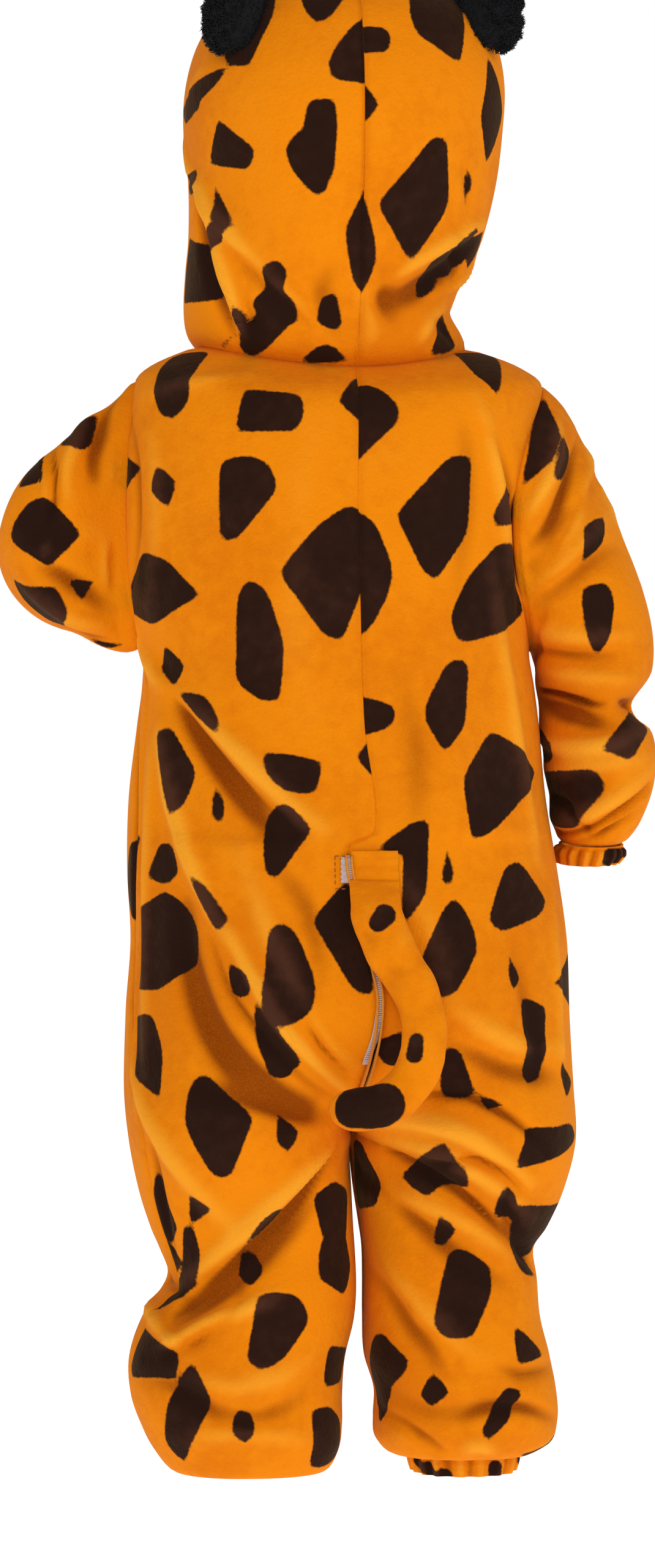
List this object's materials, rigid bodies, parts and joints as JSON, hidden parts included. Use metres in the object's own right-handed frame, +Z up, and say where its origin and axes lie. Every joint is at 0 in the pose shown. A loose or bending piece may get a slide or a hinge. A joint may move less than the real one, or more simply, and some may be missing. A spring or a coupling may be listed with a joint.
{
  "type": "child's spotted animal costume",
  "caption": "Child's hooded one-piece animal costume in spotted plush with round ears, a stuffed tail, elastic wrists and ankles and a seat zip.",
  "frame": {"origin": "middle of the neck seam, level with the tops of the shoulders, where the wearer's shoulders carry the suit", "axes": "+Z up along the wearer's spine, +Y the wearer's front, +X the wearer's right"},
  "size_m": [0.3963, 0.3061, 0.9065],
  "materials": {
    "plush": "short soft pile, dark brown spots on orange yellow",
    "black_plush": "curly black pile",
    "tail_plush": "short soft pile over soft filling",
    "zip_tape": "woven tape, matt",
    "zip_metal": "satin",
    "button_plastic": "glossy"
  },
  "bodies": {
    "root": {"back_left": "plush", "back_right": "plush", "front_left": "plush", "front_right": "plush", "sleeve_left": "plush", "sleeve_right": "plush", "wrist_left": "plush", "wrist_right": "plush", "ankle_left": "plush", "ankle_right": "plush", "hood_left": "plush", "hood_right": "plush", "ear_left": "black_plush", "ear_right": "black_plush", "tail": "tail_plush", "seat_zip": "zip_tape", "zip_tape_end": "zip_tape", "zip_slider": "zip_metal", "button_1": "button_plastic", "button_2": "button_plastic", "button_3": "button_plastic", "button_4": "button_plastic", "button_5": "button_plastic"}
  },
  "joints": []
}
